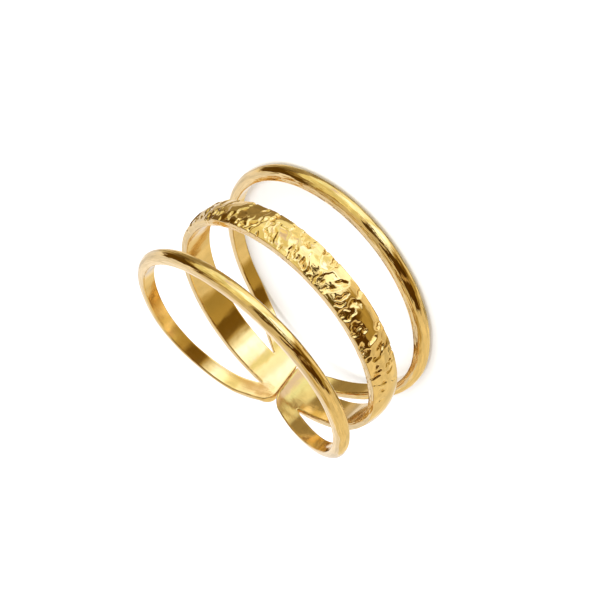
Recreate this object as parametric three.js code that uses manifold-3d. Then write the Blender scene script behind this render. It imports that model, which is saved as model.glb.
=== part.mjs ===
// Three-band ring: a hammered middle band between two slim half-round hoops, all one piece of
// metal, run together into two rounded end plates that nearly meet at the back of the finger.
//
// Millimetres, +Z up. The ring lies on its side as it rests on a table: the lower hoop is flat on
// z = 0 and the finger hollow opens upwards. The crown, the side that shows on the hand, faces -Y
// and the gap between the ends faces +Y. The origin is under the middle of the ring's box.
//
// Every part of it starts as a straight bar whose section is drawn with x across the finger
// (along the finger's axis) and y outwards from the finger. The bar is then wrapped round the
// finger's axis, from one side of the gap to the other.

import * as THREE from 'three';
import { mergeVertices } from 'three/addons/utils/BufferGeometryUtils.js';
import Module from 'manifold-3d';

const wasm = await Module();
wasm.setup();

// ---------------------------------------------------------------- driving dimensions

const FINGER_RADIUS = 8.9;       // inside of the middle band
const OUT_OF_ROUND = 0.011;      // the hollow is longer by this share from crown to gap, and
                                 // narrower by it from side to side

const END = {
  gap: 0.1,                      // between the two ends
  offset: 0.14,                  // of the gap towards +X
  askew: 9,                      // degrees that the gap leans, its top towards -X
  cornerRadius: 1.4,             // of the rounded corners of each end,
  cornerSweep: 68,               // which turn through this many degrees
  slotTip: 11.5,                 // degrees from the gap where the hoops part from the band
  sunkTo: 0.35,                  // how near the band's middle the hoops' flanks reach inside it
  broader: 0.3,                  // share that the hoops' free flanks widen by at the ends,
  broadUntil: 50,                // down to nothing at this many degrees from the gap
  innerRadius: 8.91,             // the hoops lie flush with the band's inside at the ends,
  flushUntil: 40,                // and leave it by this many degrees from the gap
};
// How far from the middle of the band each end's corners start to round off.
const CORNER_START = { upperPlusX: 1.1, upperMinusX: 0.85, lowerPlusX: 1.4, lowerMinusX: 1.4 };

const BAND = {
  width: 2.44,                   // along the finger
  rimThickness: 0.6,             // at its two edges
  crownThickness: 0.84,          // in the middle of the dome, before it is hammered
  bevel: 0.08,
  turns: 140,                    // steps round the finger
  across: 8,                     // steps across the dome
};

const HOOP = {
  innerRadius: 8.96,
  width: 1.12,
  sideThickness: 0.34,           // straight sides below the half-round back
  crownThickness: 0.92,
  bevel: 0.07,
  turns: 88,
  across: 6,
};

// Each hoop is flat for most of its way. The middle of its wire stands `height` from the middle
// of the band, `rise` more at the crown and as much less at the gap, and `skew` more on the +X
// side and less on the -X side.
const UPPER_PLANE = { height: 4.62, rise: 0.73, skew: 0.22 };
const LOWER_PLANE = { height: 4.12, rise: 0.66, skew: 0.12 };

// Near the gap each hoop leaves its plane and bends in to the band: how far each of its two arms
// has come in, at this many degrees from the gap.
const BEND_IN = [
  { angle: 0,  upperPlusX: 2.72, upperMinusX: 2.80, lowerPlusX: 2.45, lowerMinusX: 2.42 },
  { angle: 6,  upperPlusX: 2.31, upperMinusX: 2.50, lowerPlusX: 2.18, lowerMinusX: 2.16 },
  { angle: 12, upperPlusX: 1.80, upperMinusX: 2.09, lowerPlusX: 1.76, lowerMinusX: 1.86 },
  { angle: 20, upperPlusX: 1.27, upperMinusX: 1.61, lowerPlusX: 1.18, lowerMinusX: 1.44 },
  { angle: 32, upperPlusX: 0.78, upperMinusX: 1.07, lowerPlusX: 0.46, lowerMinusX: 0.92 },
  { angle: 50, upperPlusX: 0.27, upperMinusX: 0.48, lowerPlusX: 0.04, lowerMinusX: 0.30 },
  { angle: 72, upperPlusX: 0.02, upperMinusX: 0.06, lowerPlusX: 0,    lowerMinusX: 0.03 },
  { angle: 84, upperPlusX: 0,    upperMinusX: 0,    lowerPlusX: 0,    lowerMinusX: 0 },
];

// The hammered face of the band: blows of a small round-nosed hammer, in rows along the band.
const HAMMER = {
  rows: 5,
  rowSpacing: 0.52,              // across the band
  blowSpacing: 6.4,              // degrees between the blows of one row
  depth: [0.045, 0.1],           // least and most
  blowRadius: [0.42, 0.8],       // least and most
  straying: 0.4,                 // how far a blow strays, as a share of the spacing
  fadeStart: 82,                 // degrees from the gap where the marks begin,
  fadeEnd: 112,                  // and where they are full
};

const GOLD = { name: 'gold', color: '#d9b366', roughness: 0.18, metalness: 1 };

// ---------------------------------------------------------------- small helpers

const radians = THREE.MathUtils.degToRad;

/** The same number from 0 to 1 for the same seed. */
function scatter(seed) {
  const wave = Math.sin(seed * 12.9898) * 43758.5453;
  return wave - Math.floor(wave);
}

/** Radius at an angle from the gap, for what would be `radius` on a true circle. */
function ovalRadius(radius, angle) {
  return radius * (1 + OUT_OF_ROUND * Math.cos(2 * angle));
}

/** Degrees from the middle of the gap, whichever side of it the angle lies. */
function degreesFromGap(angle) {
  return THREE.MathUtils.radToDeg(Math.min(angle, 2 * Math.PI - angle));
}

/** The angle that brings a bar's square-cut ends to the gap, which is off the middle and askew. */
function askewAngle(angle, height) {
  const nearEnds = 1 - THREE.MathUtils.smoothstep(degreesFromGap(angle), 0, END.broadUntil);
  const shift = (Math.tan(radians(END.askew)) * height - END.offset) / FINGER_RADIUS;
  return angle + shift * nearEnds;
}

/**
 * Wraps a bar of this section round the finger's axis, from one side of the gap to the other.
 * `easing` spreads its steps, and `place` may move a point: it gets and returns
 * { angle, radius, height }.
 */
function wrapBar(section, turns, across, easing, place) {
  const start = 0.4 * END.gap / FINGER_RADIUS;   // the gap is then cut a little wider
  const sweep = 2 * Math.PI - 2 * start;
  const bar = new THREE.ExtrudeGeometry(section, {
    depth: 1, steps: turns, bevelEnabled: false, curveSegments: across,
  });
  const positions = bar.attributes.position;
  for (let i = 0; i < positions.count; i += 1) {
    const angle = start + sweep * easing(positions.getZ(i));
    const point = place({ angle, radius: positions.getY(i), height: positions.getX(i) });
    const radius = ovalRadius(point.radius, point.angle);
    const turned = askewAngle(point.angle, point.height);
    positions.setXYZ(i, -radius * Math.sin(turned), radius * Math.cos(turned), point.height);
  }
  return bar;
}

/** A closed three.js geometry as a solid that can be joined and cut. */
function solid(geometry) {
  const bare = geometry.clone();
  bare.deleteAttribute('normal');
  bare.deleteAttribute('uv');
  const merged = mergeVertices(bare, 1e-5);
  return new wasm.Manifold(new wasm.Mesh({
    numProp: 3,
    vertProperties: new Float32Array(merged.attributes.position.array),
    triVerts: new Uint32Array(merged.index.array),
  }));
}

/** The solid back as a three.js geometry. */
function geometryOf(shape) {
  const mesh = shape.getMesh();
  const geometry = new THREE.BufferGeometry();
  geometry.setAttribute('position', new THREE.BufferAttribute(mesh.vertProperties, 3));
  geometry.setIndex(new THREE.BufferAttribute(mesh.triVerts, 1));
  geometry.computeVertexNormals();
  return geometry;
}

// ---------------------------------------------------------------- middle band

/** Section of the band: flat inside, straight rims, low dome outside. */
function bandSection() {
  const half = BAND.width / 2;
  const section = new THREE.Shape();
  section.moveTo(-half + BAND.bevel, 0);
  section.lineTo(half - BAND.bevel, 0);
  section.lineTo(half, BAND.bevel);
  section.lineTo(half, BAND.rimThickness - BAND.bevel);
  section.lineTo(half - BAND.bevel, BAND.rimThickness);
  const domeTop = 2 * BAND.crownThickness - BAND.rimThickness;
  section.quadraticCurveTo(0, domeTop, -half + BAND.bevel, BAND.rimThickness);
  section.lineTo(-half, BAND.rimThickness - BAND.bevel);
  section.lineTo(-half, BAND.bevel);
  section.closePath();
  return section;
}

/** Every blow of the hammer: its angle from the gap, height along the finger, radius and depth. */
function hammerBlows() {
  const { lerp } = THREE.MathUtils;
  const blows = [];
  for (let row = 0; row < HAMMER.rows; row += 1) {
    for (let blow = 0; blow * HAMMER.blowSpacing < 360; blow += 1) {
      const seed = 1000 * (row + 1) + blow;
      const stray = (offset) => HAMMER.straying * (2 * scatter(seed + offset) - 1);
      const place = blow + (row % 2) / 2 + stray(0);
      blows.push({
        angle: radians(place * HAMMER.blowSpacing),
        height: (row - (HAMMER.rows - 1) / 2 + stray(0.6)) * HAMMER.rowSpacing,
        radius: lerp(...HAMMER.blowRadius, scatter(seed + 0.3)),
        depth: lerp(...HAMMER.depth, scatter(seed + 0.9)),
      });
    }
  }
  return blows;
}

const BLOWS = hammerBlows();

/** How deep the hammered face lies below the smooth dome at this place. */
function hammeredDepth(angle, height) {
  const strength = THREE.MathUtils.smoothstep(degreesFromGap(angle), HAMMER.fadeStart, HAMMER.fadeEnd);
  if (strength === 0) return 0;
  let deepest = 0;
  for (const blow of BLOWS) {
    const along = (angle - blow.angle) * FINGER_RADIUS;
    const distance = Math.hypot(along, height - blow.height) / blow.radius;
    if (distance < 1) deepest = Math.max(deepest, blow.depth * (1 - distance * distance));
  }
  return strength * deepest;
}

/** The whole band. The hammer marks its dome alone, and leaves the rims true. */
function middleBand() {
  const evenly = (along) => along;
  return solid(wrapBar(bandSection(), BAND.turns, BAND.across, evenly, ({ angle, radius, height }) => {
    const onDome = Math.abs(height) < BAND.width / 2 - 1.5 * BAND.bevel && radius > BAND.bevel;
    const depth = onDome ? hammeredDepth(angle, height) : 0;
    return { angle, radius: FINGER_RADIUS + radius - depth, height };
  }));
}

// ---------------------------------------------------------------- hoops

/**
 * A smooth curve through one column of BEND_IN that never swings past its rows: between two rows
 * it is a cubic whose slope at each row is the harmonic mean of the slopes on its two sides.
 */
function bendCurve(column) {
  const last = BEND_IN.length - 1;
  const chord = (row) => (
    (BEND_IN[row + 1][column] - BEND_IN[row][column]) / (BEND_IN[row + 1].angle - BEND_IN[row].angle)
  );
  const slopes = BEND_IN.map((_, row) => {
    if (row === 0) return chord(0);
    if (row === last) return 0;
    const [before, after] = [chord(row - 1), chord(row)];
    return before * after > 0 ? 2 * before * after / (before + after) : 0;
  });
  return (degrees) => {
    if (degrees >= BEND_IN[last].angle) return 0;
    const row = BEND_IN.findIndex((next) => degrees < next.angle) - 1;
    const [from, to] = [BEND_IN[row], BEND_IN[row + 1]];
    const step = to.angle - from.angle;
    const t = (degrees - from.angle) / step;
    const ease = t * t * (3 - 2 * t);
    return from[column] + ease * (to[column] - from[column])
      + step * t * (1 - t) * ((1 - t) * slopes[row] - t * slopes[row + 1]);
  };
}

const bendCurves = {
  upper: { plusX: bendCurve('upperPlusX'), minusX: bendCurve('upperMinusX') },
  lower: { plusX: bendCurve('lowerPlusX'), minusX: bendCurve('lowerMinusX') },
};

/** How far a hoop has come in towards the band; side is 1 for the upper and -1 for the lower. */
function bendIn(side, angle) {
  const arms = side > 0 ? bendCurves.upper : bendCurves.lower;
  const arm = angle > Math.PI ? arms.plusX : arms.minusX;
  return arm(Math.max(0, degreesFromGap(angle)));
}

/** Height of a hoop's middle plane over a point, before it bends in; side is 1 or -1. */
function planeHeight(side, angle, radius) {
  const plane = side > 0 ? UPPER_PLANE : LOWER_PLANE;
  const reach = ovalRadius(radius, angle) / (HOOP.innerRadius + HOOP.crownThickness / 2);
  return plane.height - reach * (plane.rise * Math.cos(angle) + plane.skew * Math.sin(angle));
}

/** Height of the middle of a hoop's wire above (or, for the lower one, below) the band's middle. */
function wireHeight(side, angle, radius) {
  return side * (planeHeight(side, angle, radius) - bendIn(side, angle));
}

/** Section of a hoop: flat inside, short straight sides, half-round outside. */
function hoopSection() {
  const half = HOOP.width / 2;
  const section = new THREE.Shape();
  section.moveTo(-half + HOOP.bevel, 0);
  section.lineTo(half - HOOP.bevel, 0);
  section.lineTo(half, HOOP.bevel);
  section.lineTo(half, HOOP.sideThickness);
  section.absellipse(0, HOOP.sideThickness, half, HOOP.crownThickness - HOOP.sideThickness, 0, Math.PI);
  section.lineTo(-half, HOOP.bevel);
  section.closePath();
  return section;
}

/** Share of the way round that has shorter steps near the two ends, where the hoops bend. */
function closerAtEnds(along) {
  return along - 0.07 * Math.sin(2 * Math.PI * along);
}

/** How steeply a hoop climbs along the finger as it goes round, from its bend-in alone. */
function climb(side, angle) {
  const nudge = radians(1);
  const rise = bendIn(side, angle + nudge) - bendIn(side, angle - nudge);
  return rise / (2 * nudge * HOOP.innerRadius);
}

/** One hoop: side is 1 for the upper and -1 for the lower one. */
function hoop(side) {
  return solid(wrapBar(hoopSection(), HOOP.turns, HOOP.across, closerAtEnds, (place) => {
    const { angle, radius, height } = place;
    const fromGap = degreesFromGap(angle);
    const lifted = THREE.MathUtils.smoothstep(fromGap, 0, END.flushUntil);
    const outwards = THREE.MathUtils.lerp(END.innerRadius, HOOP.innerRadius, lifted) + radius;
    const middle = wireHeight(side, angle, outwards);

    let stretch = Math.hypot(1, climb(side, angle));
    const towardsBand = height * side < 0;
    if (!towardsBand) {
      stretch *= 1 + END.broader * (1 - THREE.MathUtils.smoothstep(fromGap, 0, END.broadUntil));
    } else if (fromGap < END.slotTip) {
      stretch = (Math.abs(middle) - END.sunkTo) / (HOOP.width / 2);
    }
    return { angle, radius: outwards, height: middle + stretch * height };
  }));
}

// ---------------------------------------------------------------- the two ends

/** What is cut away between the ends: a narrow gap that flares to all four rounded corners. */
function gapCutter() {
  const half = END.gap / 2;
  const radius = END.cornerRadius;
  const far = BAND.width + radius;
  const sweep = radians(END.cornerSweep);
  const { upperPlusX, upperMinusX, lowerPlusX, lowerMinusX } = CORNER_START;
  const outline = new THREE.Shape();
  outline.moveTo(half, -lowerPlusX);
  outline.absarc(half + radius, upperPlusX, radius, Math.PI, Math.PI - sweep, true);
  outline.lineTo(far, far);
  outline.lineTo(-far, far);
  outline.absarc(-half - radius, upperMinusX, radius, sweep, 0, true);
  outline.absarc(-half - radius, -lowerMinusX, radius, 0, -sweep, true);
  outline.lineTo(-far, -far);
  outline.lineTo(far, -far);
  outline.absarc(half + radius, -lowerPlusX, radius, sweep - Math.PI, -Math.PI, true);
  outline.closePath();

  const depth = 4;
  const cutter = new THREE.ExtrudeGeometry(outline, { depth, bevelEnabled: false, curveSegments: 6 });
  cutter.rotateX(Math.PI / 2);
  cutter.rotateY(-radians(END.askew));
  cutter.translate(END.offset, FINGER_RADIUS + 0.75 * depth, 0);
  return solid(cutter);
}

// ---------------------------------------------------------------- the ring, laid on its side

function ring() {
  let metal = middleBand();
  for (const side of [1, -1]) metal = metal.add(hoop(side));
  return geometryOf(metal.subtract(gapCutter()));
}

/** Turns the ring so that the lower hoop's plane is level, and sets it down over the origin. */
function layOnSide(mesh) {
  const acrossRadius = HOOP.innerRadius + HOOP.crownThickness / 2;
  const squareToHoop = new THREE.Vector3(LOWER_PLANE.skew, -LOWER_PLANE.rise, acrossRadius).normalize();
  mesh.quaternion.setFromUnitVectors(squareToHoop, new THREE.Vector3(0, 0, 1));
  mesh.updateMatrixWorld(true);
  const box = new THREE.Box3().setFromObject(mesh, true);
  const centre = box.getCenter(new THREE.Vector3());
  mesh.position.set(-centre.x, -centre.y, -box.min.z);
}

const gold = new THREE.MeshStandardMaterial(GOLD);
const threeBandRing = new THREE.Mesh(ring(), gold);
threeBandRing.name = 'three_band_ring';
layOnSide(threeBandRing);

const group = new THREE.Group();
group.add(threeBandRing);

export default group;
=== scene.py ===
# %% [markdown]
# # A three-band ring in polished and hammered gold
#
# This lesson dresses one small piece of jewellery: an open ring of three bands. A hammered band
# runs between two slim half-round hoops, and at the back of the finger all three run together
# into two rounded ends that nearly meet. The ring lies on its side on a pale table.
#
# The solid that comes with the lesson gives the ring's true size and place. It is plain, with
# small flat facets, and polished metal shows every facet. So here the metal is drawn again as
# one smooth skin, and the plain solid is hidden behind it.

import math

import bmesh
import bpy
import numpy as np
from mathutils import Matrix, Vector


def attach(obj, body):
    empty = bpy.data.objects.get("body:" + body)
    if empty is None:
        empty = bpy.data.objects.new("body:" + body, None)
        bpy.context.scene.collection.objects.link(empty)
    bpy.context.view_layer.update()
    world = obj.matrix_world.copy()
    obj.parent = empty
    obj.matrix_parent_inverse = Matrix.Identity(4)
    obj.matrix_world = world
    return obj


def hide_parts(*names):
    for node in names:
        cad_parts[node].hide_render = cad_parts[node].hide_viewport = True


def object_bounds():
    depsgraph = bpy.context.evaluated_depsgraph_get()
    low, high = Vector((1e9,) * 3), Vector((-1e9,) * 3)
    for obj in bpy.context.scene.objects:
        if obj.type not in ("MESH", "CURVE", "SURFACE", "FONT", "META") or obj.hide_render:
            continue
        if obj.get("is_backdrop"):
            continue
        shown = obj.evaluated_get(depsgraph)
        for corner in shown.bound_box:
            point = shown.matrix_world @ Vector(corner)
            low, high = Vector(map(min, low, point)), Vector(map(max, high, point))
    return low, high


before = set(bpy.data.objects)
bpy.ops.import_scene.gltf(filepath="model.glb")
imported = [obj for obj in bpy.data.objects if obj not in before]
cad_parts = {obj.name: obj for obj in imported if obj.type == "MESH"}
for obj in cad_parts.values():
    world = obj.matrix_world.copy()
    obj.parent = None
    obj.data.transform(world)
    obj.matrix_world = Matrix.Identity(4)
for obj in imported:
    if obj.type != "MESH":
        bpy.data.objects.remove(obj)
cad_low, cad_high = (Vector(corner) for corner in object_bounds())
cad_middle = (cad_low + cad_high) / 2
print("solid:", [round(1000 * side, 2) for side in cad_high - cad_low], "mm")

# %% [markdown]
# ## The shape as a flat pattern
#
# A goldsmith cuts such a ring flat and then bends it round a mandrel, and the skin is made the
# same way. Every point has three numbers in millimetres: `along`, the way round the finger from
# the gap; `across`, the way along the finger from the middle of the hammered band; and `up`, the
# height of the metal above its inside. Drawing the pattern flat keeps each outline simple, and
# bending comes last.

# %% Length of the pattern
FINGER_RADIUS = 8.9                      # millimetres, to the inside of the middle band
OUT_OF_ROUND = 0.011                     # share by which the ring is taller than it is wide
ROUND = 2 * math.pi * FINGER_RADIUS
print("the pattern is", round(ROUND, 2), "mm long")


# %% Three helpers that every later step uses
def smoothstep(value, low, high):
    """0 below low, 1 above high, and an even S between them."""
    t = np.clip((np.asarray(value, float) - low) / (high - low), 0, 1)
    return t * t * (3 - 2 * t)


def degrees_from_gap(along):
    """How far round from the gap, whichever way is shorter."""
    angle = np.degrees(np.asarray(along, float) / FINGER_RADIUS)
    return np.clip(np.minimum(angle, 360 - angle), 0, None)


def oval(along):
    return 1 + OUT_OF_ROUND * np.cos(2 * np.asarray(along, float) / FINGER_RADIUS)


print("half way round is", float(degrees_from_gap(ROUND / 2)), "degrees from the gap")

# %% [markdown]
# ## Where the two hoops run
#
# Over the crown each hoop lies in a plane of its own, tipped a little from the band's. Near the
# gap it leaves that plane and bends in to the band. A short list of measures with a smooth curve
# through them gives each bend its own character, as four bends made by hand have.


# %% A smooth curve through a few measures
def smooth_curve(angles, values):
    """A curve through the values that never swings past them."""
    values = np.array(values, float)
    chords = np.diff(values) / np.diff(angles)
    slopes = np.zeros(len(values))
    slopes[0] = chords[0]
    for i, (before, after) in enumerate(zip(chords, chords[1:]), start=1):
        if before * after > 0:
            slopes[i] = 2 * before * after / (before + after)

    def at(angle):
        angle = np.clip(angle, angles[0], angles[-1])
        row = np.clip(np.searchsorted(angles, angle, "right") - 1, 0, len(angles) - 2)
        step = angles[row + 1] - angles[row]
        t = (angle - angles[row]) / step
        curve = values[row] + t * t * (3 - 2 * t) * (values[row + 1] - values[row])
        return curve + step * t * (1 - t) * ((1 - t) * slopes[row] - t * slopes[row + 1])
    return at


# Degrees from the gap, and how far each arm of each hoop has come in there.
BEND_ANGLES = np.array([0, 6, 12, 20, 32, 50, 72, 84], float)
BEND_IN = {
    ("upper", "right"): [2.72, 2.31, 1.80, 1.27, 0.78, 0.27, 0.02, 0],
    ("upper", "left"): [2.80, 2.50, 2.09, 1.61, 1.07, 0.48, 0.06, 0],
    ("lower", "right"): [2.45, 2.18, 1.76, 1.18, 0.46, 0.04, 0, 0],
    ("lower", "left"): [2.42, 2.16, 1.86, 1.44, 0.92, 0.30, 0.03, 0],
}
bend_curves = {arm: smooth_curve(BEND_ANGLES, column) for arm, column in BEND_IN.items()}


def bend_in(hoop, along):
    """How far a hoop has come in towards the band."""
    left = np.asarray(along, float) < ROUND / 2
    angle = degrees_from_gap(along)
    return np.where(left, bend_curves[hoop, "left"](angle), bend_curves[hoop, "right"](angle))


for hoop in ("upper", "lower"):
    print(hoop, "hoop, 25 degrees from the gap: in by",
          bend_in(hoop, ROUND * 25 / 360).round(2), "mm")

# %% Middle and width of each hoop
SIDE = {"upper": 1, "lower": -1}
HOOP_HALF = 0.56                         # half the width of a hoop
BROADER, BROADER_UNTIL = 0.3, 50         # its free side is broader near the gap: share, and degrees

# Height of each hoop above the band's middle, how much more of it is at the crown, and how much
# the hoop leans sideways.
HOOP_PLANE = {"upper": (4.62, 0.73, 0.22), "lower": (4.12, 0.66, 0.12)}


def tilt(hoop, along):
    """How far a hoop's plane dips at this place, at the middle of its metal."""
    angle = np.asarray(along, float) / FINGER_RADIUS
    _, rise, skew = HOOP_PLANE[hoop]
    return rise * np.cos(angle) + skew * np.sin(angle)


def hoop_middle(hoop, along):
    """Height of the middle of a hoop's metal, out from the middle of the band."""
    return HOOP_PLANE[hoop][0] - oval(along) * tilt(hoop, along) - bend_in(hoop, along)


def hoop_halves(hoop, along):
    """Half widths of a hoop: towards the band, and on its free side, broader near the ends."""
    nudge = FINGER_RADIUS * math.radians(1)
    climb = (bend_in(hoop, along + nudge) - bend_in(hoop, along - nudge)) / (2 * nudge)
    half = HOOP_HALF * np.hypot(1, climb)
    more = BROADER * smoothstep(degrees_from_gap(along), 0, BROADER_UNTIL)
    return half, half * (1 + BROADER - more)


for hoop in SIDE:
    print(hoop, "hoop stands", hoop_middle(hoop, ROUND / 2).round(2), "mm out at the crown and",
          hoop_middle(hoop, 0).round(2), "mm at the gap")

# %% [markdown]
# ## How thick the metal is
#
# The hammered band is flat inside and gently domed outside. Each hoop has a flat inside, short
# straight sides and a half-round back. Where they run together at the ends, a soft maximum of
# the two heights fills the crease between them, as solder and a polishing wheel do.

# %% Height of a hoop's metal over any place of the pattern
HOOP_SIDE, HOOP_CROWN = 0.34, 0.92       # height of the straight side, and of the round back
HOOP_FALL = 2                            # slope at which it falls off beyond its side
MERGE_FROM, MERGE_UNTIL = 4, 11.5        # degrees from the gap where the back spreads less and less
SPREAD_TO = 0.35                         # and how near it then comes to the band's middle


def hoop_height(hoop, along, out):
    """Height of one hoop; `out` is the distance from the middle of the band towards it."""
    middle = hoop_middle(hoop, along)
    towards, free = hoop_halves(hoop, along)
    spread = 1 - smoothstep(degrees_from_gap(along), MERGE_FROM, MERGE_UNTIL)
    towards = towards + spread * np.maximum(middle - SPREAD_TO - towards, 0)
    half = np.where(out < middle, towards, free)
    share = np.abs(out - middle) / half
    back = (HOOP_CROWN - HOOP_SIDE) * np.sqrt(np.clip(1 - share ** 2, 0, 1))
    return HOOP_SIDE + back - HOOP_FALL * half * np.clip(share - 1, 0, None)


crown_middle = hoop_middle("upper", ROUND / 2)
crown_height = hoop_height("upper", ROUND / 2, crown_middle)
print("a hoop's back stands", crown_height.round(2), "mm above its inside")

# %% Height of the band, and of all three together
BAND_HALF = 1.22                         # half the width of the band
BAND_RIM, BAND_CROWN = 0.6, 0.84         # thickness at the rims and in the middle
EDGE = 0.08                              # radius of the rounded edges
BAND_FALL, FALL_MORE = 0.3, 4            # slope beyond the rims at the ends, and more further round
FALL_MORE_FROM = MERGE_UNTIL - 5         # degrees from the gap
FILLET = 0.12                            # size of the soft crease


def band_height(along, out):
    """Height of the smooth dome of the band, which falls off steeply beyond its rims."""
    share = np.clip(out, 0, BAND_HALF) / (BAND_HALF - EDGE)
    fall = BAND_FALL + FALL_MORE * smoothstep(degrees_from_gap(along), FALL_MORE_FROM, MERGE_UNTIL)
    dome = BAND_RIM + (BAND_CROWN - BAND_RIM) * (1 - share ** 2)
    return dome - fall * np.clip(out - BAND_HALF, 0, None)


def soft_maximum(a, b):
    return np.maximum(a, b) + np.clip(FILLET - np.abs(a - b), 0, None) ** 2 / (4 * FILLET)


def smooth_height(along, across):
    out = np.abs(across)
    hoop = np.where(across > 0, hoop_height("upper", along, out), hoop_height("lower", along, out))
    return soft_maximum(band_height(along, out), hoop)


middle_and_rim = smooth_height(ROUND / 2, np.array([0, BAND_HALF - EDGE]))
print("the band is", middle_and_rim.round(2), "mm thick, at its middle and at its rim")

# %% [markdown]
# ## Hammer and chisel marks
#
# The face of the middle band is worked by hand. Broad blows of a hammer cover it with small
# flats, and a blunt chisel adds short strokes across the band, thickest along its upper edge.
# No blow lands quite square, so the bottom of each mark slants its own way: one mark catches the
# light while its neighbour goes dark. Towards the back of the finger the marks thin out and stop.
#
# The marks are stamped into a height map of the unrolled band, which later pushes the skin in,
# so each of them is real relief. A bump texture would be quicker, but its marks would be missing
# where the band turns away and shows its outline.

# %% A map of the unrolled face, and a stamp for one mark
CELL = 0.02                              # size of one cell of the map
FACE_HALF = BAND_HALF + 2 * CELL         # the map ends a little past the rims
map_along = np.arange(0, ROUND, CELL)
map_across = np.arange(-FACE_HALF, FACE_HALF, CELL)
relief = np.zeros((len(map_along), len(map_across)))


def stamp(along, across, length, width, turn, depth, steep, slant):
    """Sinks one oval mark with a slanted bottom; the steeper it is, the flatter the bottom."""
    size = max(length, width)
    rows = slice(max(0, int((along - size) / CELL)), int((along + size) / CELL) + 1)
    columns = slice(max(0, int((across - size + FACE_HALF) / CELL)),
                    max(0, int((across + size + FACE_HALF) / CELL) + 1))
    x = map_along[rows, None] - along
    y = map_across[None, columns] - across
    u = (x * math.cos(turn) + y * math.sin(turn)) / length
    v = (y * math.cos(turn) - x * math.sin(turn)) / width
    dish = np.clip(1 - u ** 2 - v ** 2, 0, None) ** (1 / steep)
    bottom = depth * (1 + slant[0] * u + slant[1] * v)
    relief[rows, columns] = np.maximum(relief[rows, columns], bottom * dish)


print("the map has", relief.shape[0], "by", relief.shape[1], "cells")

# %% Scatter the marks: hammer flats, chisel strokes, and strokes along the upper edge
MARKS_SPAN = 0.2, 0.8                    # shares of the way round between which marks are tried
MARKS_FROM, MARKS_FULL = 84, 122         # degrees from the gap: no marks nearer, all of them beyond
SLANT = 0.9                              # how far a bottom may tip, as a share of its depth
marks = np.random.default_rng(5)


def leaning(along):
    """Degrees that the worker's hand leans the long marks: straight across, give or take."""
    slow_sway, quick_sway = 26 * math.sin(along / 1.4 + 1), 12 * math.sin(along / 0.55)
    return 90 + slow_sway + quick_sway


def scatter_marks(count, place, length, width, lean, depth, steep):
    """Stamps marks over the face, each measure drawn between its two limits."""
    for _ in range(count):
        along, across = marks.uniform(*MARKS_SPAN) * ROUND, marks.uniform(*place)
        turn = math.radians(leaning(along) + marks.uniform(*lean))
        size = marks.uniform(*length), marks.uniform(*width)
        deep, slant = marks.uniform(*depth), marks.uniform(-SLANT, SLANT, 2)
        full = float(smoothstep(degrees_from_gap(along), MARKS_FROM, MARKS_FULL))
        if marks.uniform() < full:
            stamp(along, across, *size, turn, deep * (0.5 + 0.5 * full), steep, slant)


# How many, then the limits of place across, length, width, lean and depth, and how flat a bottom.
scatter_marks(70, (-1.2, 1.2), (0.5, 0.9), (0.35, 0.6), (-40, 40), (0.05, 0.10), 5)
scatter_marks(110, (-1.2, 1.2), (0.25, 0.5), (0.10, 0.17), (-30, 30), (0.08, 0.15), 4)
scatter_marks(90, (0.3, 1.15), (0.18, 0.38), (0.07, 0.12), (-25, 25), (0.1, 0.17), 3)
print("deepest mark:", relief.max().round(3), "mm, mean:", relief.mean().round(3), "mm")

# %% [markdown]
# ## Nothing made by hand is quite true
#
# Two kinds of untrueness bring the metal to life. The ovals of the stamp are pulled out of shape
# by shifting the place where the map is read. And the backs and the bends get waves of about a
# hundredth of a millimetre: far too little to see as a shape, but enough to make a reflection
# waver. Both come from one helper that adds up a few sine waves with seeded lengths.


# %% Waves with seeded lengths
def gentle_waves(seed, count, size, along_each, across_each):
    """A function of place that adds up soft waves, up to `size` in all."""
    drawn = np.random.default_rng(seed)
    waves = np.column_stack([2 * math.pi / drawn.uniform(*along_each, count),
                             2 * math.pi / drawn.uniform(*across_each, count)
                             * drawn.choice((-1, 1), count),
                             drawn.uniform(0, 2 * math.pi, count)])

    def height(along, across):
        return sum(np.sin(k * along + q * across + start) for k, q, start in waves) * size / count
    return height


shift_along = gentle_waves(5, 6, 0.13, (0.6, 1.4), (0.6, 1.4))
shift_across = gentle_waves(6, 6, 0.11, (0.6, 1.4), (0.6, 1.4))
back_waves = gentle_waves(3, 9, 0.02, (2.0, 7.0), (0.9, 2.5))
bar_waves = gentle_waves(8, 7, 0.022, (3.0, 8.0), (6.0, 14.0))
print("one place of the back is", back_waves(ROUND / 2, 0).round(4), "mm out of true")


# %% Height of the finished metal
KEPT_IN = 1.001                          # cells from the map's far sides, so a next cell is there
RIM_PLAIN = 0.14                         # the marks fade out over this much beside the rims


def relief_at(along, across):
    """Depth of the marks at any place, read off the map in between its cells."""
    along, across = np.asarray(along, float), np.asarray(across, float)
    row = np.clip((along + shift_along(along, across)) / CELL, 0, len(map_along) - KEPT_IN)
    column = (across + shift_across(along, across) + FACE_HALF) / CELL
    column = np.clip(column, 0, len(map_across) - KEPT_IN)
    r, c = row.astype(int), column.astype(int)
    fr, fc = row - r, column - c
    upper = relief[r, c] * (1 - fc) + relief[r, c + 1] * fc
    lower = relief[r + 1, c] * (1 - fc) + relief[r + 1, c + 1] * fc
    return (upper * (1 - fr) + lower * fr) * smoothstep(FACE_HALF - np.abs(across), 0, RIM_PLAIN)


def metal_height(along, across):
    return smooth_height(along, across) - relief_at(along, across) + back_waves(along, across)


middle_line = metal_height(np.linspace(0.3, 0.7, 400) * ROUND, np.zeros(400))
thinnest, thickest = middle_line.min().round(2), middle_line.max().round(2)
print("the band's middle is", thinnest, "to", thickest, "mm thick")

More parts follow.
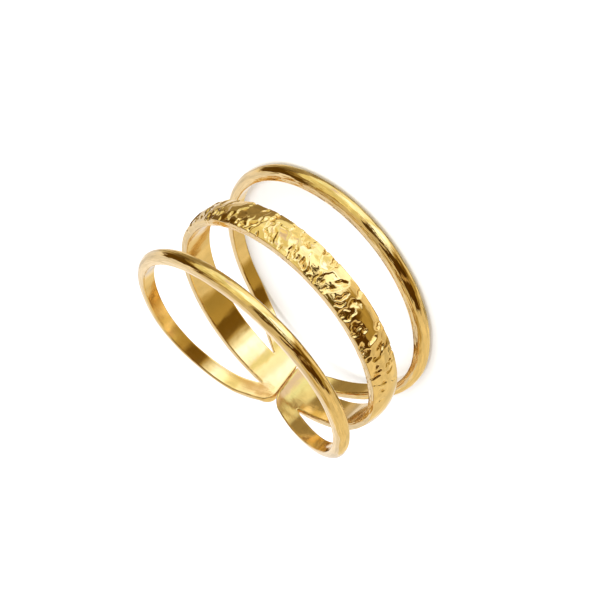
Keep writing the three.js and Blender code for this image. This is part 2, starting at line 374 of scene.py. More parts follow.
# %% [markdown]
# ## The three edges of the pattern
#
# The flat pattern has one outline and two long slots, each a closed loop. An even rim with
# rounded edges follows all three loops, and smooth nets fill what lies between them. Where a
# slot ends, its tip is a small half circle.

# %% Where the slots end
TIP = 0.06                               # radius of a slot's tip
TIPS_WITHIN = 40                         # degrees from the gap: every slot ends nearer than this
HALVINGS = 40


def slot_tip(hoop, arm):
    """Where a hoop has parted from the band by the width of the tip, found by halving."""
    near, far = 0.0, FINGER_RADIUS * math.radians(TIPS_WITHIN)
    for _ in range(HALVINGS):
        middle = (near + far) / 2
        along = middle if arm == "left" else ROUND - middle
        width = hoop_middle(hoop, along) - hoop_halves(hoop, along)[0] - BAND_HALF
        near, far = (near, middle) if width > 2 * TIP else (middle, far)
    return along


tips = {(hoop, arm): slot_tip(hoop, arm) for hoop in SIDE for arm in ("left", "right")}
for (hoop, arm), along in tips.items():
    print(hoop, "slot,", arm, "tip:", degrees_from_gap(along).round(1), "degrees from the gap")

# %% Rows of the nets: close together at the slots' tips and over the marks
TIP_STEPS = 6                            # rows in a quarter circle
SEAM_STEPS = TIP_STEPS - 1               # rows of it that belong to the band's net
SEAM_LEAN = 0.24                         # the hoops' first rows lean this much towards the gap
ROWS_FROM = 11.5                         # degrees from the gap, about where the tips are
TIP_STEP = 0.05                          # from row to row beside a tip
BACK_MORE, MARKS_LESS = 0.09, 0.085      # wider steps on the band's plain back, closer on its marks
HOOP_MORE = 0.21                         # wider steps round a hoop


def spread_rows(step_at):
    """Shares from 0 to 1 of the way from one tip to the other, spaced as asked."""
    start = FINGER_RADIUS * math.radians(ROWS_FROM)
    row, stop = start, ROUND - start
    rows = [row]
    while row < stop:
        row += float(step_at(degrees_from_gap(row)))
        rows.append(row)
    rows = np.array(rows)
    return (rows - rows[0]) / (rows[-1] - rows[0])


def band_step(angle):
    return TIP_STEP + BACK_MORE * smoothstep(angle, 11, 25) - MARKS_LESS * smoothstep(angle, 60, 76)


def hoop_step(angle):
    return TIP_STEP + HOOP_MORE * smoothstep(angle, 11, 40)


band_rows, hoop_rows = spread_rows(band_step), spread_rows(hoop_step)
print(len(band_rows), "rows on the band,", len(hoop_rows), "on each hoop")


# %% The loop of a slot: its points, which way the metal lies, and how square its edge is
def with_normals(points):
    """Unit steps into the metal, which lies on the right all the way round a closed loop."""
    ahead = np.roll(points, -1, axis=0) - points
    ahead /= np.linalg.norm(ahead, axis=1)[:, None]
    along = ahead + np.roll(ahead, 1, axis=0)
    along /= np.linalg.norm(along, axis=1)[:, None]
    return np.stack([along[:, 1], -along[:, 0]], axis=1)


def slot_loop(hoop):
    """Along the band from left to right, round the right tip, back along the hoop, left tip."""
    left, right = tips[hoop, "left"], tips[hoop, "right"]
    out_run = left + (right - left) * band_rows
    back_run = (left + (right - left) * hoop_rows)[::-1]
    swing = np.radians(np.linspace(-90, 90, 2 * TIP_STEPS + 1)[1:-1])
    middle = BAND_HALF + TIP
    points = np.concatenate([
        np.stack([out_run, np.full(len(out_run), BAND_HALF)], axis=1),
        np.stack([right + TIP * np.cos(swing), middle + TIP * np.sin(swing)], axis=1),
        np.stack([back_run, hoop_middle(hoop, back_run) - hoop_halves(hoop, back_run)[0]], axis=1),
        np.stack([left - TIP * np.cos(swing), middle - TIP * np.sin(swing)], axis=1),
    ])
    square = np.concatenate([np.ones(len(out_run)), 0.5 - 0.5 * np.sin(swing),
                             np.zeros(len(back_run)), 0.5 + 0.5 * np.sin(swing)])
    normals = with_normals(points)
    flip = np.array([1, SIDE[hoop]])
    return points * flip, normals * flip, square


slots = {hoop: slot_loop(hoop) for hoop in SIDE}
print("points round each slot:", {hoop: len(loop[0]) for hoop, loop in slots.items()})

# %% [markdown]
# ## The two ends at the gap
#
# Each end is cut nearly square, with two broad round corners that run out into the free sides of
# the hoops. The corners start at different places, because the maker shaped each one by eye.

# %% How far out the metal goes near an end
GAP = 0.1                                # between the two ends
CORNER_RADIUS = 1.4
CORNER_SWEEP = 68                        # degrees, and then straight on
STRAIGHT_TO = 3.84                       # the straight part ends this far out, both ways
OPEN = 9                                 # beyond it a corner sets no limit
CORNER_START = {("upper", "right"): 1.1, ("upper", "left"): 0.85,
                ("lower", "right"): 1.4, ("lower", "left"): 1.4}
PATH_END = 4                             # past every slot's tip


def corner_curve(hoop, arm, x):
    """How far out an end's rounded corner lets the metal go, x millimetres from the gap."""
    sweep = math.radians(CORNER_SWEEP)
    arc_x = GAP / 2 + CORNER_RADIUS * (1 - math.cos(sweep))
    arc_out = CORNER_START[hoop, arm] + CORNER_RADIUS * math.sin(sweep)
    turn = np.arccos(np.clip(1 - (x - GAP / 2) / CORNER_RADIUS, math.cos(sweep), 1))
    rounded = CORNER_START[hoop, arm] + CORNER_RADIUS * np.sin(turn)
    straight = (x - arc_x) * (STRAIGHT_TO - arc_out) / (STRAIGHT_TO - arc_x)
    return np.where(x < STRAIGHT_TO, rounded + np.clip(straight, 0, None), OPEN)


def reach(hoop, arm, x):
    """How far out the metal goes: to the corner, or to the hoop's free side if that is nearer."""
    along = x if arm == "left" else ROUND - x
    side = hoop_middle(hoop, along) + hoop_halves(hoop, along)[1]
    return np.minimum(corner_curve(hoop, arm, x), side)


def corner_path(hoop, arm):
    """From the gap round a corner and out along the free side, as far as the slot's tip."""
    tip = tips[hoop, arm]
    last = (tip if arm == "left" else ROUND - tip) - TIP - EDGE - SEAM_LEAN
    x = GAP / 2 + CORNER_RADIUS * (1 - np.cos(np.radians(np.linspace(0, CORNER_SWEEP, 300))))
    x = np.concatenate([x, np.linspace(x[-1], PATH_END, 400)[1:]])
    x = np.append(x[x < last], last)
    out = reach(hoop, arm, x)
    met = int(np.argmax(out < corner_curve(hoop, arm, x))) or len(x) - 1
    along = x if arm == "left" else ROUND - x
    return np.stack([along, SIDE[hoop] * out], axis=1), met


for hoop, arm in tips:
    path, met = corner_path(hoop, arm)
    print(hoop, arm, "corner ends", abs(path[met, 1]).round(2), "mm out, where the hoop begins")

# %% Shares of the columns across a hoop and across the band
HOOP_COLUMNS, BAND_COLUMNS, PLATE_ROWS = 16, 36, 14
first_turn = math.acos(1 - EDGE / HOOP_HALF)
column_turns = np.linspace(first_turn, math.pi - first_turn, HOOP_COLUMNS + 1)
hoop_shares = 0.5 - 0.5 * np.cos(column_turns) / math.cos(first_turn)
band_shares = np.linspace(0, 1, BAND_COLUMNS + 1)


def across_rows(*stops):
    """Rows of points from edge to edge: each stop but the last is followed by its shares."""
    rows = [stops[0][:, None, :]]
    for near, shares, far in zip(stops[0::2], stops[1::2], stops[2::2]):
        rows.append(near[:, None, :] + shares[None, 1:, None] * (far - near)[:, None, :])
    return np.concatenate(rows, axis=1)


print("a hoop's columns stand closest at its sides:", hoop_shares[:4].round(3))

# %% The edges of the two end plates
NET_CORNER = 0.6         # a net's corner lies this share of the way round a rounded corner


def way_along(path):
    """How far each point of a path is from its start."""
    return np.concatenate([[0], np.cumsum(np.linalg.norm(np.diff(path, axis=0), axis=1))])


def walk(path, shares):
    """Points at these shares of the way along a path of many short steps."""
    way = way_along(path)
    return np.stack([np.interp(shares * way[-1], way, path[:, i]) for i in (0, 1)], axis=1)


def plate_edges(arm):
    """An end's free edges and its end edge, as rows and columns of the plate's net need them."""
    edges, halves = {}, {}
    for hoop in SIDE:
        path, met = corner_path(hoop, arm)
        way = way_along(path)
        corner = NET_CORNER * way[met] / way[-1]
        edges[hoop] = walk(path, np.linspace(corner, 1, PLATE_ROWS + 1))
        halves[hoop] = walk(path, np.linspace(0, corner, 200))
    end = np.concatenate([halves["lower"][::-1], halves["upper"]])
    way = way_along(end)
    seam = BAND_HALF + TIP
    low, high = (np.interp(place, end[:, 1], way / way[-1]) for place in (-seam, seam))
    shares = np.concatenate([low * hoop_shares, low + (high - low) * band_shares[1:],
                             high + (1 - high) * hoop_shares[1:]])
    edges["end"] = walk(end, shares)
    return edges


ends = {arm: plate_edges(arm) for arm in ("left", "right")}
print("points on each end edge:", len(ends["left"]["end"]))


# %% The outline of the whole pattern
SQUARE_UNTIL, ROUND_FROM = 0.45, 1.3     # edges: even at the gap, following the metal further on


def free_edge(hoop):
    """The free side of a hoop, one point for each row of its net."""
    left, right = tips[hoop, "left"], tips[hoop, "right"]
    tip_rows = 2 * TIP_STEPS - SEAM_STEPS + 1
    before = np.linspace(left - TIP - EDGE - SEAM_LEAN, left, tip_rows)[:-1]
    after = np.linspace(right, right + TIP + EDGE + SEAM_LEAN, tip_rows)[1:]
    along = np.concatenate([before, left + (right - left) * hoop_rows, after])
    out = np.minimum(reach(hoop, "left", along), reach(hoop, "right", ROUND - along))
    return np.stack([along, SIDE[hoop] * out], axis=1)


outline_parts = {
    "upper left": ends["left"]["upper"],
    "upper": free_edge("upper")[1:-1],
    "upper right": ends["right"]["upper"][::-1],
    "right end": ends["right"]["end"][::-1][1:-1],
    "lower right": ends["right"]["lower"],
    "lower": free_edge("lower")[::-1][1:-1],
    "lower left": ends["left"]["lower"][::-1],
    "left end": ends["left"]["end"][1:-1],
}
outline = np.concatenate(list(outline_parts.values()))
outline_normals = with_normals(outline)
from_gap = np.minimum(outline[:, 0], ROUND - outline[:, 0])
outline_square = 1 - smoothstep(from_gap, SQUARE_UNTIL, ROUND_FROM)
print("outline:", len(outline), "points")

# %% The borders of the nets lie inside the loops by the radius of the rounded edge
cuts = np.cumsum([len(part) for part in outline_parts.values()])[:-1]
inset = dict(zip(outline_parts, np.split(outline + EDGE * outline_normals, cuts)))
slot_inset = {hoop: points + EDGE * normals for hoop, (points, normals, _) in slots.items()}
right_seam = len(band_rows) - 1 + SEAM_STEPS
left_seam = right_seam + len(hoop_rows) - 1 + 2 * (2 * TIP_STEPS - SEAM_STEPS)
band_side = {hoop: np.concatenate([edge[left_seam:], edge[:right_seam + 1]])
             for hoop, edge in slot_inset.items()}
hoop_side = {hoop: edge[right_seam:left_seam + 1][::-1] for hoop, edge in slot_inset.items()}
free_side = {
    "upper": np.concatenate([inset["upper left"][-1:], inset["upper"], inset["upper right"][:1]]),
    "lower": np.concatenate([inset["lower right"][-1:], inset["lower"],
                             inset["lower left"][:1]])[::-1],
}
print("rows beside the band:", len(band_side["upper"]), "and in a hoop:", len(free_side["upper"]))


# %% The nets: two end plates, the band and two hoops
END_PULL = 1.5                           # how fast the pull of the curved end edge dies away


def plate_net(arm):
    """Net of one end, from its end edge to the row where the slots begin."""
    if arm == "left":
        low, high = inset["lower left"][::-1], inset["upper left"]
        end = np.concatenate([low[:1], inset["left end"], high[:1]])
    else:
        low, high = inset["lower right"], inset["upper right"][::-1]
        end = np.concatenate([low[:1], inset["right end"][::-1], high[:1]])
    tip = 0 if arm == "left" else -1
    away = np.linspace(0, 1, PLATE_ROWS + 1)[:, None]
    seams = [end[column] + away * (band_side[hoop][tip] - end[column])
             for hoop, column in (("lower", HOOP_COLUMNS), ("upper", HOOP_COLUMNS + BAND_COLUMNS))]
    net = across_rows(low, hoop_shares, seams[0], band_shares, seams[1], hoop_shares, high)
    net += (end - net[0])[None] * (1 - away[:, :, None]) ** END_PULL
    return net


nets = {
    "left plate": plate_net("left"),
    "right plate": plate_net("right"),
    "band": across_rows(band_side["lower"], band_shares, band_side["upper"]),
    "upper hoop": across_rows(hoop_side["upper"], hoop_shares, free_side["upper"]),
    "lower hoop": across_rows(free_side["lower"], hoop_shares, hoop_side["lower"]),
}
print({name: net.shape[:2] for name, net in nets.items()})

# %% [markdown]
# ## From the pattern to the skin
#
# Each net is used twice: lifted to the height of the metal it is the outside, and left flat it is
# the inside. Rims join the two along the three loops. A rim starts where the net stops, turns
# down over a rounded edge, drops straight, and turns in again under the metal. The pieces share
# their border points exactly, so merging by distance sews them into one closed skin.

# %% Lift the nets and build the rims
EDGE_STEPS, WALL_STEPS, INNER_STEPS = 3, 1, 2     # rows over the edge, down the wall, and under


def lifted(net):
    return np.dstack([net, metal_height(net[..., 0], net[..., 1])])


def flat(net):
    return np.dstack([net, np.zeros(net.shape[:2])])


def rim(points, normals, square):
    """Rows of a rim, from the outside net's border over the edge to the inside net's border."""
    rows = []
    border = points + EDGE * normals
    top = metal_height(border[:, 0], border[:, 1])
    for turn in np.linspace(0, math.pi / 2, EDGE_STEPS + 1):
        place = points + EDGE * (1 - math.sin(turn)) * normals
        rounded = top - EDGE * (1 - math.cos(turn))
        own = metal_height(place[:, 0], place[:, 1])
        rows.append(np.column_stack([place, own + square * (rounded - own)]))
    foot = rows[-1][:, 2]
    for share in np.linspace(0, 1, WALL_STEPS + 1)[1:]:
        rows.append(np.column_stack([points, foot + share * (EDGE - foot)]))
    for turn in np.linspace(0, math.pi / 2, INNER_STEPS + 1)[1:]:
        place = points + EDGE * (1 - math.cos(turn)) * normals
        rows.append(np.column_stack([place, np.full(len(points), EDGE * (1 - math.sin(turn)))]))
    rows = np.stack(rows)
    return np.concatenate([rows, rows[:, :1]], axis=1)


patches = [("hammered" if name == "band" else "polished", lifted(net))
           for name, net in nets.items()]
patches += [("inside", flat(net)) for net in nets.values()]
patches += [("polished", rim(*slots[hoop])) for hoop in SIDE]
patches.append(("polished", rim(outline, outline_normals, outline_square)))
print(len(patches), "patches")

# %% Bend the pattern round the finger
GAP_OFFSET = 0.14                        # the gap stands this far to one side
GAP_LEAN = math.tan(math.radians(9))     # and leans, as it was sawn a little askew
GAP_LEAN_UNTIL = 50                      # degrees from the gap where the lean has died away
HOOP_RADIUS = 9.42                       # to the middle of a hoop's metal
HOOP_LIFT = 0.06                         # the hoops stand this much off the finger
HOOP_LIFT_FROM, HOOP_LIFT_OUT = 40, 1.9  # in full beyond this many degrees and this far out
DIP_FROM, DIP_FULL = 1.3, 2.6            # between these a place starts to follow its hoop's plane


def bent(pattern):
    """Pattern points as millimetres round the finger's axis, the gap on the +Y side."""
    along, across, up = np.moveaxis(pattern, -1, 0)
    out = np.abs(across)
    turn = degrees_from_gap(along)
    lift = HOOP_LIFT * smoothstep(turn, 0, HOOP_LIFT_FROM)
    inside = FINGER_RADIUS + lift * smoothstep(out, BAND_HALF, HOOP_LIFT_OUT)
    dip = np.where(across > 0, tilt("upper", along), -tilt("lower", along))
    dip = dip * smoothstep(out, DIP_FROM, DIP_FULL)
    height = across - dip * oval(along) * (inside + up - HOOP_RADIUS) / HOOP_RADIUS
    radius = (inside + up + bar_waves(along, across)) * oval(along)
    lean = (GAP_LEAN * height - GAP_OFFSET) / FINGER_RADIUS
    angle = along / FINGER_RADIUS + lean * (1 - smoothstep(turn, 0, GAP_LEAN_UNTIL))
    return np.stack([-radius * np.sin(angle), radius * np.cos(angle), height], axis=-1)


print("a point half way round lands at", bent(np.array([ROUND / 2, 0, 0])).round(2))


# %% Lay the ring down where the solid lies
def laid_down(points):
    """Turns the ring so that its lower hoop lies level, and sets it where the solid is."""
    _, rise, skew = HOOP_PLANE["lower"]
    turn = Vector((skew, -rise, HOOP_RADIUS)).rotation_difference(Vector((0, 0, 1)))
    points = points @ np.array(turn.to_matrix()).T / 1000
    low, high = points.min(axis=0), points.max(axis=0)
    middle = (low + high) / 2
    shift = np.array([cad_middle.x - middle[0], cad_middle.y - middle[1], cad_low.z - low[2]])
    return points + shift


pattern = np.concatenate([patch.reshape(-1, 3) for _, patch in patches])
skin_points = laid_down(bent(pattern))
print("skin:", (1000 * np.ptp(skin_points, axis=0)).round(2), "mm")

# %% Faces of the skin, each with its finish
FINISHES = ["polished", "hammered", "inside"]
faces, finishes, first = [], [], 0
for finish, patch in patches:
    rows, columns = patch.shape[:2]
    start = (first + np.arange(rows - 1)[:, None] * columns + np.arange(columns - 1)).ravel()
    faces.append(np.column_stack([start, start + 1, start + columns + 1, start + columns]))
    finishes += [FINISHES.index(finish)] * len(start)
    first += rows * columns
faces = np.concatenate(faces)

mesh = bpy.data.meshes.new("three_band_ring_skin")
mesh.from_pydata(skin_points.tolist(), [], faces.tolist())
mesh.polygons.foreach_set("material_index", np.array(finishes, np.int32))
mesh.polygons.foreach_set("use_smooth", np.ones(len(faces), bool))
print({name: finishes.count(i) for i, name in enumerate(FINISHES)}, "faces")

# %% Two attributes for the finishes: where the grain runs, and how deep a mark is
FOLLOW_FROM, FOLLOW_FULL = 0.3, 0.95     # shares of the way out where the grain follows the hoop
along, across, up = pattern.T
own_middle = np.where(across > 0, hoop_middle("upper", along), hoop_middle("lower", along))
in_hoop = smoothstep(np.abs(across), FOLLOW_FROM * own_middle, FOLLOW_FULL * own_middle)
grain = np.stack([along, across - np.sign(across) * own_middle * in_hoop, up], axis=1)
# The depth of a mark also darkens the gold there later, as painted shade in its bottom.
sunk = relief_at(along, across) * (up > EDGE)
mesh.attributes.new("grain", "FLOAT_VECTOR", "POINT").data.foreach_set("vector", grain.ravel())
mesh.attributes.new("sunk", "FLOAT", "POINT").data.foreach_set("value", sunk)
print("share of the points that lie in a mark:", (sunk > CELL).mean().round(2))

# %% Sew the patches into one skin, and hand it over in place of the solid
SEWN_WITHIN = 1e-7                       # metres
sewing = bmesh.new()
sewing.from_mesh(mesh)
bmesh.ops.remove_doubles(sewing, verts=sewing.verts, dist=SEWN_WITHIN)
bmesh.ops.recalc_face_normals(sewing, faces=sewing.faces)
open_edges = sum(not edge.is_manifold for edge in sewing.edges)
print("skin:", len(sewing.verts), "points,", len(sewing.faces), "faces,", open_edges, "open edges,",
      round(1e9 * sewing.calc_volume(), 1), "cubic mm")
sewing.to_mesh(mesh)
sewing.free()
ring = bpy.data.objects.new("three_band_ring_skin", mesh)
bpy.context.scene.collection.objects.link(ring)
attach(ring, "root")
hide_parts("three_band_ring")

# %% [markdown]
# ## The gold
#
# The ring is one yellow gold with three finishes. The hoops and the ends are polished on a wheel,
# which leaves long faint furrows that follow the metal, so a reflection on them breaks up into
# streaks. The hammered face is polished too, but only its ridges have met the wheel, so the
# bottoms of the marks are a little duller; their deeper colour is painted shade in the hollows.
# The side against the finger is smoothed by hand and less bright.
#
# Metal has no colour of its own to paint: it tints what it reflects. So each finish is a fully
# metallic Principled shader, and what varies is its tint, its roughness and its surface. Two
# effects are shared by all three finishes and are built once, as node groups.

# %% Helpers: add a node, do a sum, start a group
def add(tree, kind, inputs=(), **settings):
    """Adds a node; each input is a value to set or another node's output to link."""
    node = tree.nodes.new("ShaderNode" + kind)
    for name, value in settings.items():
        setattr(node, name, value)
    for key, value in dict(inputs).items():
        if isinstance(value, bpy.types.NodeSocket):
            tree.links.new(value, node.inputs[key])
        else:
            node.inputs[key].default_value = value
    return node


def math_of(tree, operation, *values):
    return add(tree, "Math", enumerate(values), operation=operation).outputs[0]


def new_group(name, inputs, outputs):
    """A node group with these sockets, its source of inputs and its sink of outputs."""
    group = bpy.data.node_groups.new(name, "ShaderNodeTree")
    for label, kind in inputs.items():
        group.interface.new_socket(label, in_out="INPUT", socket_type="NodeSocket" + kind)
    for label, kind in outputs.items():
        group.interface.new_socket(label, in_out="OUTPUT", socket_type="NodeSocket" + kind)
    source, sink = group.nodes.new("NodeGroupInput"), group.nodes.new("NodeGroupOutput")
    print("group", name + ":", ", ".join(inputs), "->", ", ".join(outputs))
    return group, source.outputs, sink.inputs


# %% Group: furrows left by the polishing wheel
furrows, given, result = new_group(
    "furrows", {"Place": "Vector", "Run": "Float", "Spacing": "Float", "Depth": "Float"},
    {"Height": "Float"})
spot = add(furrows, "SeparateXYZ", {0: given["Place"]}).outputs
stretched = add(furrows, "CombineXYZ", {
    0: math_of(furrows, "DIVIDE", spot[0], given["Run"]),
    1: math_of(furrows, "DIVIDE", spot[1], given["Spacing"]),
    2: math_of(furrows, "DIVIDE", spot[2], given["Spacing"])}).outputs[0]
noise = add(furrows, "TexNoise", {"Vector": stretched, "Scale": 1, "Detail": 1.5, "Roughness": 0.5})
height = math_of(furrows, "MULTIPLY", noise.outputs["Fac"], given["Depth"])
furrows.links.new(height, result["Height"])

# %% Group: the metal's own tone, deeper and duller in clouds, with painted shade and dullness in the marks
tone, given, result = new_group(
    "gold tone with painted mark shade", {"Place": "Vector", "Sunk": "Float", "Bright": "Color", "Deep gold and shade": "Color",
                  "Roughness": "Float", "Dullness": "Float"},
    {"Color": "Color", "Roughness": "Float"})
clouds = add(tone, "TexNoise", {"Vector": given["Place"], "Scale": 0.9, "Detail": 4,
                                "Roughness": 0.6})
cloud = add(tone, "MapRange", {0: clouds.outputs["Fac"], 1: 0.35, 2: 0.7}).outputs[0]
# Painted shade: the bottoms of the hammer marks darken towards the deeper gold
painted_mark_shade = add(tone, "MapRange", {0: given["Sunk"], 1: 0.05, 2: 0.13}).outputs[0]
# Random clouds of deeper tone, together with the painted shade in the marks
deep = math_of(tone, "MAXIMUM", math_of(tone, "MULTIPLY", cloud, 0.35), painted_mark_shade)
mixed = add(tone, "Mix", {0: deep, 6: given["Bright"], 7: given["Deep gold and shade"]}, data_type="RGBA")
tone.links.new(mixed.outputs[2], result["Color"])
dull = math_of(tone, "MULTIPLY", given["Dullness"], deep)
tone.links.new(math_of(tone, "ADD", given["Roughness"], dull), result["Roughness"])

# %% Three finishes of one gold
# The deeper gold colours the random clouds, and in the marks it is painted shade.
GOLD, DEEP_GOLD_AND_MARK_SHADE = (0.87, 0.66, 0.34, 1), (0.80, 0.55, 0.22, 1)
MILLIMETRE = 0.001                       # the furrows' depths are in millimetres


def gold_finish(name, roughness, dullness, broad, fine):
    """A gold with broad and fine furrows, each given as run, spacing and depth in mm."""
    material = bpy.data.materials.new(name)
    material.use_nodes = True
    tree = material.node_tree
    metal = tree.nodes["Principled BSDF"]
    metal.inputs["Metallic"].default_value = 1
    place = add(tree, "Attribute", attribute_name="grain").outputs["Vector"]
    in_mark = add(tree, "Attribute", attribute_name="sunk").outputs["Fac"]
    heights = [add(tree, "Group", {"Place": place, "Run": run, "Spacing": spacing, "Depth": depth},
                   node_tree=furrows).outputs["Height"] for run, spacing, depth in (broad, fine)]
    bump = add(tree, "Bump", {"Height": math_of(tree, "ADD", *heights), "Strength": 1,
                              "Distance": MILLIMETRE})
    tree.links.new(bump.outputs["Normal"], metal.inputs["Normal"])
    # The tone darkens the bottoms of the marks with painted shade, and dulls them.
    own_tone = add(tree, "Group", {"Place": place, "Sunk": in_mark, "Bright": GOLD,
                                   "Deep gold and shade": DEEP_GOLD_AND_MARK_SHADE, "Roughness": roughness,
                                   "Dullness": dullness}, node_tree=tone)
    tree.links.new(own_tone.outputs["Color"], metal.inputs["Base Color"])
    tree.links.new(own_tone.outputs["Roughness"], metal.inputs["Roughness"])
    return material


polished = gold_finish("polished gold", 0.025, 0.03, (1.5, 0.2, 0.055), (1.2, 0.06, 0.006))
hammered = gold_finish("hammered gold", 0.03, 0.03, (0.5, 0.3, 0.012), (0.5, 0.06, 0.0008))
finger_side = gold_finish("gold on the finger side", 0.10, 0.1, (1.2, 1.6, 0.026),
                          (2, 0.06, 0.0016))
for material in (polished, hammered, finger_side):
    mesh.materials.append(material)
print("finishes:", [material.name for material in mesh.materials])

# %% [markdown]
# ## Camera
#
# The camera looks down on the lying ring from its front left, over the hammered crown, and is
# turned on its side, so that the finger hollow points away to the lower left of the view. It is
# placed by distance, direction and roll, because those three are easy to change one at a time.

# %% Place the camera
DISTANCE, FOCAL_LENGTH = 0.088, 74.1     # metres, and millimetres
AZIMUTH, ELEVATION, ROLL = math.radians(26.5), math.radians(28.45), math.radians(-129.16)
AIM_SHIFT = Vector((-0.00026, -0.00115, -0.0021))
aim = cad_middle + AIM_SHIFT
towards_camera = Vector((-math.sin(AZIMUTH) * math.cos(ELEVATION),
                         -math.cos(AZIMUTH) * math.cos(ELEVATION), math.sin(ELEVATION)))
lens = bpy.data.cameras.new("camera")
lens.lens = FOCAL_LENGTH
lens.clip_start, lens.clip_end = 0.001, 10
camera = bpy.data.objects.new("camera", lens)
camera.matrix_world = (Matrix.Translation(aim + DISTANCE * towards_camera)
                       @ towards_camera.to_track_quat("Z", "Y").to_matrix().to_4x4()
                       @ Matrix.Rotation(ROLL, 4, "Z"))
bpy.context.scene.collection.objects.link(camera)
bpy.context.scene.camera = camera
print("the camera stands", round(1000 * camera.location.z, 1), "mm above the table")

# %% [markdown]
# ## Table and light
#
# The table is plain and white. A soft lamp overhead draws the faint shadows that show where the
# ring touches it. The table doesn't show in the gold, because a real table of this kind is lit so
# brightly that the metal would turn white along its underside.

# %% Table
bpy.ops.mesh.primitive_plane_add(size=3, location=(0, 0, cad_low.z))
floor = bpy.context.object
floor.name = "table"
white = bpy.data.materials.new("white table")
white.use_nodes = True
table_top = white.node_tree.nodes["Principled BSDF"].inputs
table_top["Base Color"].default_value = (0.9, 0.9, 0.9, 1)
table_top["Roughness"].default_value = 0.6
floor.data.materials.append(white)
floor.visible_glossy = False
floor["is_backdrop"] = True
print("the table lies at", floor.location.z, "m")

# %% Overhead lamp
lamp = bpy.data.lights.new("overhead", "AREA")
lamp.size = 0.25
lamp.energy = 0.6
overhead = bpy.data.objects.new("overhead", lamp)
overhead.location = (0.03, -0.02, 0.3)
overhead.rotation_euler = overhead.location.to_track_quat("Z", "Y").to_euler()
overhead.visible_glossy = False
overhead.visible_camera = False
bpy.context.scene.collection.objects.link(overhead)
print("the lamp is", lamp.size, "m wide and", overhead.location.z, "m up")

# %% [markdown]
# ## A light tent
#
# Polished metal looks like whatever stands round it. Jewellery is lit in a tent of white cloth
# with cards hung in it: bright ones for the highlights, and brown and black ones, because gold
# without anything dark to reflect looks like plastic. Here the tent is the world. Each card is a
# soft-edged patch between two azimuths and two elevations, and later cards hang in front of
# earlier ones. Azimuth 0 is in front of the ring, and the ring's left is negative. A noise bends
# the cards' outlines and another shades them, as folds of cloth do.

# %% Group: one soft-edged card
card, given, result = new_group(
    "tent card", {"Azimuth": "Float", "Elevation": "Float", "Left": "Float", "Right": "Float",
                  "Bottom": "Float", "Top": "Float", "Softness": "Float"}, {"Mask": "Float"})
soft_from = math_of(card, "MULTIPLY", given["Softness"], -1)
masks = []
for far, near in (("Azimuth", "Left"), ("Right", "Azimuth"),
                  ("Elevation", "Bottom"), ("Top", "Elevation")):
    past_edge = math_of(card, "SUBTRACT", given[far], given[near])
    masks.append(add(card, "MapRange", {0: past_edge, 1: soft_from, 2: given["Softness"]},
                     interpolation_type="SMOOTHSTEP").outputs[0])
sides = math_of(card, "MULTIPLY", masks[0], masks[1])
levels = math_of(card, "MULTIPLY", masks[2], masks[3])
card.links.new(math_of(card, "MULTIPLY", sides, levels), result["Mask"])

# %% The cards, from the back of the tent to the front: edges and softness in degrees, and colour
CLOTH = (0.91, 0.78, 0.48)
CARDS = [    # name, left, right, bottom, top, softness, colour
    ("roof", -180, 180, 57, 95, 7, (0.66, 0.57, 0.36)),
    ("amber, behind left", -162, -124, 36, 58, 6, (0.50, 0.36, 0.12)),
    ("white wall, right", 104, 180, -34, 52, 8, (0.95, 0.93, 0.95)),
    ("cream wall, front right", -6, 62, -8, 50, 4, (0.88, 0.81, 0.42)),
    ("white strip on it", 6, 60, 17, 23, 2, (1.20, 1.25, 0.85)),
    ("white patch on it", 12, 26, 42, 52, 2, (1.20, 1.20, 0.70)),
    ("amber above it", 28, 84, 49, 60, 3, (0.42, 0.27, 0.05)),
    ("cream cloth below", 18, 60, -80, -4, 8, (1.12, 1.10, 0.74)),
    ("lamp panel, front", -43, 20, -80, 12, 2.5, (1.48, 1.56, 1.42)),
    ("rose strip", 21, 31, -34, -9, 2, (0.93, 0.86, 0.95)),
    ("pale strip", 32, 42, -34, -9, 3, (1.12, 1.28, 0.95)),
    ("tan strip, right", 100, 114, -36, -15, 4, (0.60, 0.50, 0.34)),
    ("tan, low right", 56, 100, -66, -12, 5, (0.36, 0.275, 0.12)),
    ("brown on it", 58, 100, -15, -1, 4, (0.18, 0.12, 0.04)),
    ("olive, right", 58, 76, -3, 46, 4, (0.34, 0.23, 0.06)),
    ("dark, right", 70, 101, -3, 57, 2.5, (0.115, 0.058, 0.006)),
    ("cream fold of the panel", -21, -5, -80, -12, 3, (1.12, 1.12, 0.70)),
    ("white patch, low left", -33, -17, -33, -17, 3, (1.60, 1.85, 2.55)),
    ("white patch, low front", 4, 15, -33, -17, 3, (1.60, 1.80, 2.25)),
    ("olive, low left", -96, -42, -50, -10, 4, (0.48, 0.34, 0.09)),
    ("brown on it, left", -68, -49, -32, -8, 4, (0.165, 0.09, 0.01)),
    ("dark, left", -96, -46, -12, 57, 2.5, (0.095, 0.04, 0.003)),
    ("olive, front left", -50, -12, 11, 34, 4, (0.16, 0.11, 0.02)),
    ("dark above it", -50, -6, 32, 56, 3, (0.11, 0.055, 0.006)),
    ("darkest, high left", -84, -28, 46, 57, 2, (0.08, 0.03, 0.002)),
    ("dark rod over the panel", -60, -4, 1, 6.5, 1, (0.09, 0.06, 0.01)),
    ("upright slit of light", -70, -66, 2, 40, 1.5, (0.62, 0.42, 0.16)),
    ("shade under the wall", 104, 180, -90, -47, 4, (0.26, 0.22, 0.11)),
    ("shade under the cloth", -180, -128, -90, -50, 4, (0.26, 0.22, 0.11)),
]
print(len(CARDS), "cards")

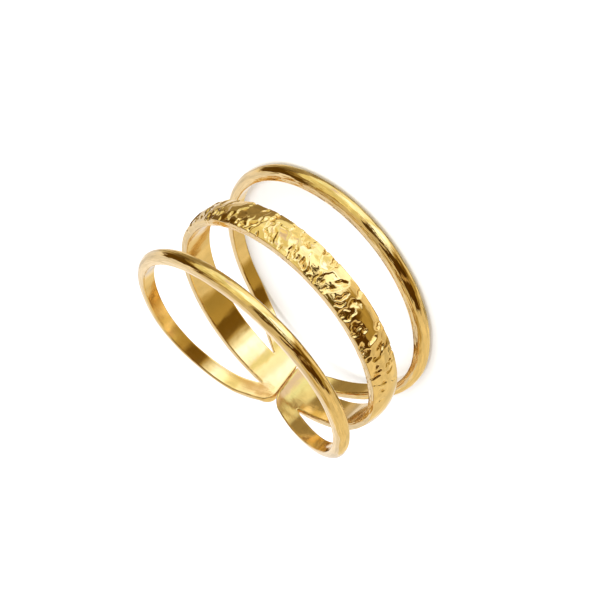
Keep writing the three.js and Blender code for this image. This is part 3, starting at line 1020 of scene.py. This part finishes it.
# %% Which way a ray looks, as azimuth and elevation
SWAY_SIDEWAYS, SWAY_UP = 11, 10          # degrees by which the drape bends the cards' outlines
world = bpy.data.worlds.new("light tent")
bpy.context.scene.world = world
world.use_nodes = True
tent = world.node_tree
direction = add(tent, "TexCoord").outputs["Generated"]
drape = add(tent, "TexNoise", {"Vector": direction, "Scale": 6, "Detail": 2, "Roughness": 0.5})
centred = add(tent, "VectorMath", {0: drape.outputs["Color"], 1: (0.5, 0.5, 0.5)},
              operation="SUBTRACT")
sway = add(tent, "SeparateXYZ", {0: centred.outputs[0]}).outputs
axes = add(tent, "SeparateXYZ", {0: direction}).outputs
ahead = math_of(tent, "MULTIPLY", axes[1], -1)
true_azimuth = math_of(tent, "DEGREES", math_of(tent, "ARCTAN2", axes[0], ahead))
true_elevation = math_of(tent, "DEGREES", math_of(tent, "ARCSINE", axes[2]))
azimuth = math_of(tent, "MULTIPLY_ADD", sway[0], SWAY_SIDEWAYS, true_azimuth)
elevation = math_of(tent, "MULTIPLY_ADD", sway[1], SWAY_UP, true_elevation)
print("nodes so far:", len(tent.nodes))

# %% Hang the cards
colour = (*CLOTH, 1)
for name, left, right, bottom, top, softness, tint in CARDS:
    hung = add(tent, "Group", {"Azimuth": azimuth, "Elevation": elevation,
                               "Left": left, "Right": right, "Bottom": bottom, "Top": top,
                               "Softness": softness}, node_tree=card)
    hung.label = name
    mixed = add(tent, "Mix", {0: hung.outputs["Mask"], 6: colour, 7: (*tint, 1)}, data_type="RGBA")
    colour = mixed.outputs[2]
print("nodes with the cards:", len(tent.nodes))

# %% Shade the cloth, and show the tent in the gold only
SKY = (1.25, 1.25, 1.25, 1)
folds = add(tent, "TexNoise", {"Vector": direction, "Scale": 3.5, "Detail": 3, "Roughness": 0.55})
shade = add(tent, "MapRange", {0: folds.outputs["Fac"], 1: 0.3, 2: 0.7,
                               3: 0.72, 4: 1.22}).outputs[0]
in_gold = add(tent, "VectorMath", {0: colour, "Scale": shade}, operation="SCALE").outputs[0]
glossy = add(tent, "LightPath").outputs["Is Glossy Ray"]
seen = add(tent, "Mix", {0: glossy, 6: SKY, 7: in_gold}, data_type="RGBA")
tent.links.new(seen.outputs[2], tent.nodes["Background"].inputs["Color"])
bpy.context.scene.view_settings.view_transform = "Standard"
print("the table sees an even white sky, the gold sees", len(CARDS), "cards")

# %% [markdown]
# ## Check the size
#
# Dressing a part must not make it bigger. The box of the skin is measured against the box of the
# solid and the difference is printed, so that the two can be compared after each change.

# %% Compare both boxes
skin_low, skin_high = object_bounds()
grown = [round(1e6 * (b - a)) for a, b in
         zip(cad_high - cad_low, Vector(skin_high) - Vector(skin_low))]
print("skin against solid:", grown, "thousandths of a millimetre")
